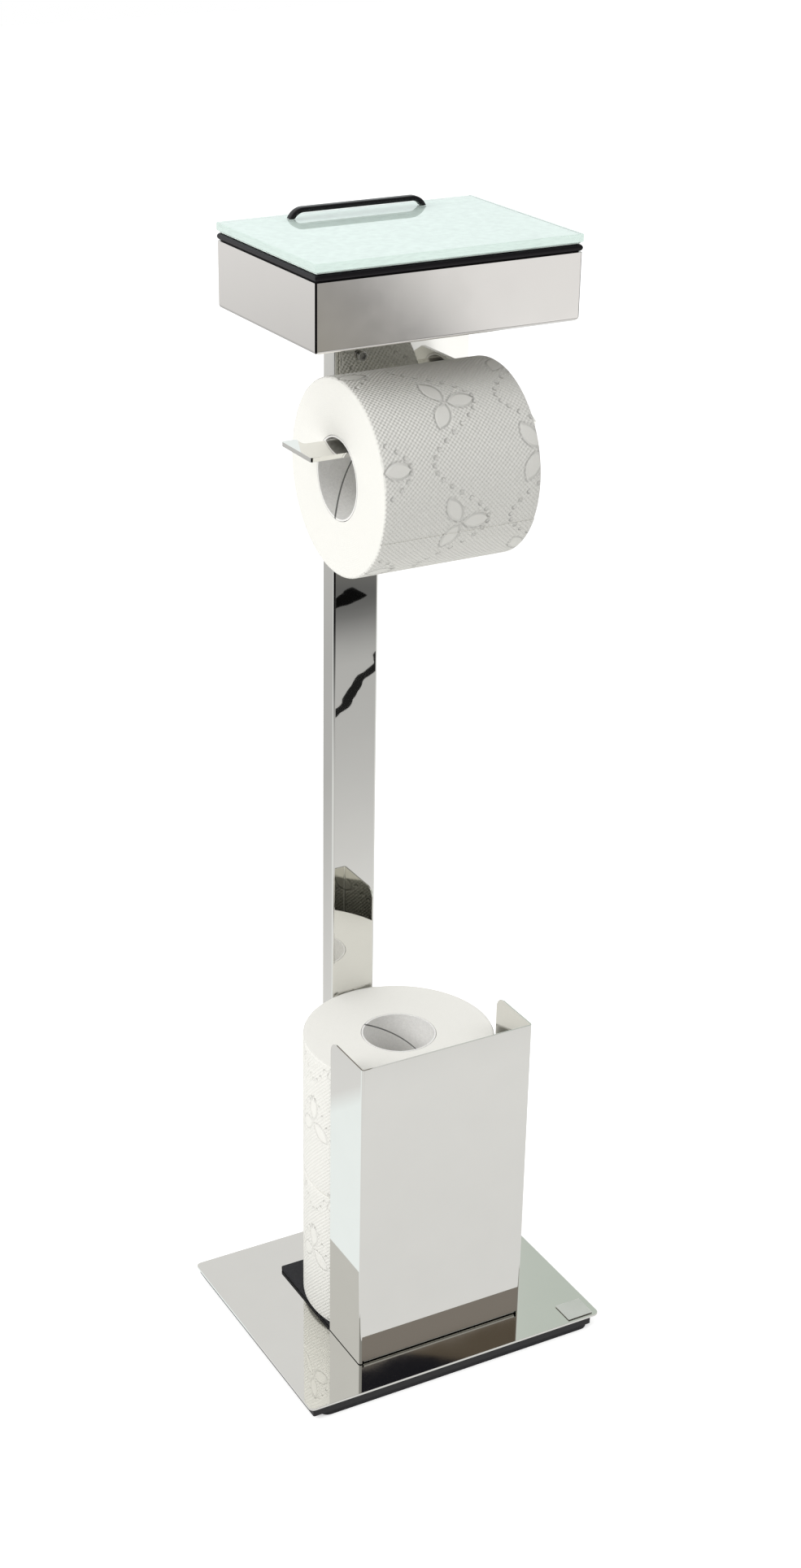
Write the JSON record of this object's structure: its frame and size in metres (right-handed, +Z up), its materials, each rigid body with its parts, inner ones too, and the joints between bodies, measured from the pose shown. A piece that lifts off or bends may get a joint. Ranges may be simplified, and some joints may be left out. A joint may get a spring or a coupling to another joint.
{
  "type": "toilet butler stand",
  "caption": "Free-standing toilet butler: weighted base, post, folded holder with spare rolls, arm with a hanging roll, and a wipes box with a glass lid.",
  "frame": {"origin": "on the floor under the middle of the base plate", "axes": "+Z up, -Y to the front where the holder's closed panel is, +X to the right when seen from the front"},
  "size_m": [0.21, 0.168, 0.697],
  "materials": {
    "polished_steel": "mirror polished stainless steel",
    "plain_steel": "plain zinc plated steel",
    "weight": "black powder coat",
    "rubber": "matt black rubber",
    "black_plastic": "satin black plastic",
    "handle_black": "satin black powder coat",
    "glass": "polished float glass",
    "white_backing": "white film on the glass",
    "paper": "soft embossed tissue",
    "cardboard": "plain grey core board"
  },
  "bodies": {
    "stand": {"base_plate": "polished_steel", "base_weight": "weight", "base_underlay": "rubber", "badge_plate": "polished_steel", "post_tube": "polished_steel", "post_foot_block": "plain_steel", "post_head_block": "plain_steel", "post_screw_left": "plain_steel", "post_screw_right": "plain_steel", "holder_sheet": "polished_steel", "holder_nut_left": "plain_steel", "holder_nut_right": "plain_steel", "holder_mat": "rubber", "roll_bracket": "polished_steel", "bracket_screw_upper": "plain_steel", "bracket_screw_lower": "plain_steel", "box_tray": "polished_steel", "box_liner": "black_plastic", "box_screw_left": "plain_steel", "box_screw_right": "plain_steel"},
    "lid": {"lid_glass": "glass", "lid_backing": "white_backing", "lid_locator": "black_plastic", "lid_handle": "handle_black", "handle_nut_left": "plain_steel", "handle_nut_right": "plain_steel"},
    "hanging_roll": {"hanging_roll_paper": "paper", "hanging_roll_core": "cardboard"},
    "spare_roll_lower": {"spare_roll_lower_paper": "paper", "spare_roll_lower_core": "cardboard"},
    "spare_roll_upper": {"spare_roll_upper_paper": "paper", "spare_roll_upper_core": "cardboard"}
  },
  "joints": [
    {"name": "lid_lift", "type": "slide", "parent": "stand", "child": "lid", "axis": [0, 0, 1], "range_m": [0, 0.12]},
    {"name": "hanging_roll_spin", "type": "hinge", "parent": "stand", "child": "hanging_roll", "pos_m": [0.0005, -0.004, 0.56676], "axis": [1, 0, 0], "continuous": true},
    {"name": "spare_lower_lift", "type": "slide", "parent": "stand", "child": "spare_roll_lower", "axis": [0, 0, 1], "range_m": [0, 0.175]},
    {"name": "spare_upper_lift", "type": "slide", "parent": "spare_roll_lower", "child": "spare_roll_upper", "axis": [0, 0, 1], "range_m": [0, 0.12]}
  ]
}
